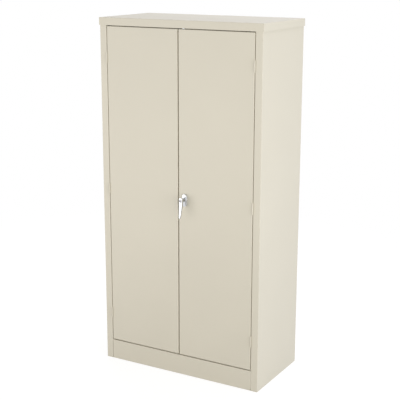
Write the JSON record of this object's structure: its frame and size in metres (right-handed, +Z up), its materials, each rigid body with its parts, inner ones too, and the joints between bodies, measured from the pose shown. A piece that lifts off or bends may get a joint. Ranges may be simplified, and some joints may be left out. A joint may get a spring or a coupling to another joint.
{
  "type": "tool cabinet with doors",
  "caption": "Tall steel storage cabinet with hinged doors, a locking lever with rods, and adjustable shelves inside.",
  "frame": {"origin": "middle of the front edge of the footprint, on the floor: x = 0 is the middle of the width, y = 0 is the face of the door frame and z = 0 is the floor", "axes": "+X to the right as seen from the front, +Y to the back, +Z up"},
  "size_m": [0.9234, 0.5159, 1.8288],
  "materials": {
    "body_paint": "putty powder coat, satin",
    "door_paint": "putty powder coat, satin",
    "shelf_paint": "putty powder coat, satin",
    "handle_chrome": "bright chrome plate on a die casting",
    "lock_steel": "turned and polished",
    "plated_steel": "bright zinc plate",
    "bumper_rubber": "matte"
  },
  "bodies": {
    "cabinet": {"top_cap": "body_paint", "left_side_panel": "body_paint", "right_side_panel": "body_paint", "back_panel": "body_paint", "header_rail": "body_paint", "kick_plate": "body_paint", "bottom_shelf": "body_paint", "shelf_1": "shelf_paint", "shelf_2": "shelf_paint", "shelf_3": "shelf_paint", "shelf_4": "shelf_paint", "left_front_standard": "plated_steel", "left_rear_standard": "plated_steel", "right_front_standard": "plated_steel", "right_rear_standard": "plated_steel", "shelf_clips": "plated_steel", "door_bumpers": "bumper_rubber", "left_frame_hinge_leaves": "body_paint", "right_frame_hinge_leaves": "body_paint", "left_hinge_pins": "body_paint", "right_hinge_pins": "body_paint"},
    "left_door": {"left_door_panel": "door_paint", "left_door_stiffener": "door_paint", "overlap_strip": "door_paint", "left_door_hinge_leaves": "body_paint"},
    "right_door": {"right_door_panel": "door_paint", "right_door_stiffener": "door_paint", "right_door_hinge_leaves": "body_paint", "handle_base": "handle_chrome", "base_screws": "plated_steel", "upper_rod_guides": "plated_steel", "lower_rod_guides": "plated_steel"},
    "lever": {"lever_handle": "handle_chrome", "lever_spindle": "plated_steel", "cam_plate": "plated_steel", "cam_pins": "plated_steel", "cam_screw": "plated_steel"},
    "lock": {"lock_cylinder": "lock_steel"},
    "upper_rod": {"upper_locking_rod": "plated_steel"},
    "lower_rod": {"lower_locking_rod": "plated_steel"}
  },
  "joints": [
    {"name": "left_door_hinge", "type": "hinge", "parent": "cabinet", "child": "left_door", "pos_m": [-0.4177, -0.003, 0.94837], "axis": [0, 0, -1], "range_deg": [0, 170]},
    {"name": "right_door_hinge", "type": "hinge", "parent": "cabinet", "child": "right_door", "pos_m": [0.4177, -0.003, 0.94837], "axis": [0, 0, 1], "range_deg": [0, 170]},
    {"name": "lever_turn", "type": "hinge", "parent": "right_door", "child": "lever", "pos_m": [0.04, 0, 0.94837], "axis": [0, -1, 0], "range_deg": [0, 90]},
    {"name": "lock_turn", "type": "hinge", "parent": "lever", "child": "lock", "pos_m": [0.04, 0, 0.94837], "axis": [0, -1, 0], "range_deg": [0, 90]},
    {"name": "upper_rod_slide", "type": "slide", "parent": "right_door", "child": "upper_rod", "axis": [0, 0, 1], "range_m": [-0.0255, 0]},
    {"name": "lower_rod_slide", "type": "slide", "parent": "right_door", "child": "lower_rod", "axis": [0, 0, 1], "range_m": [0, 0.0255]}
  ],
  "couplings": [
    {"joint": "upper_rod_slide", "follows": "lever_turn", "m_per_rad": -0.016206},
    {"joint": "lower_rod_slide", "follows": "lever_turn", "m_per_rad": 0.016206}
  ]
}
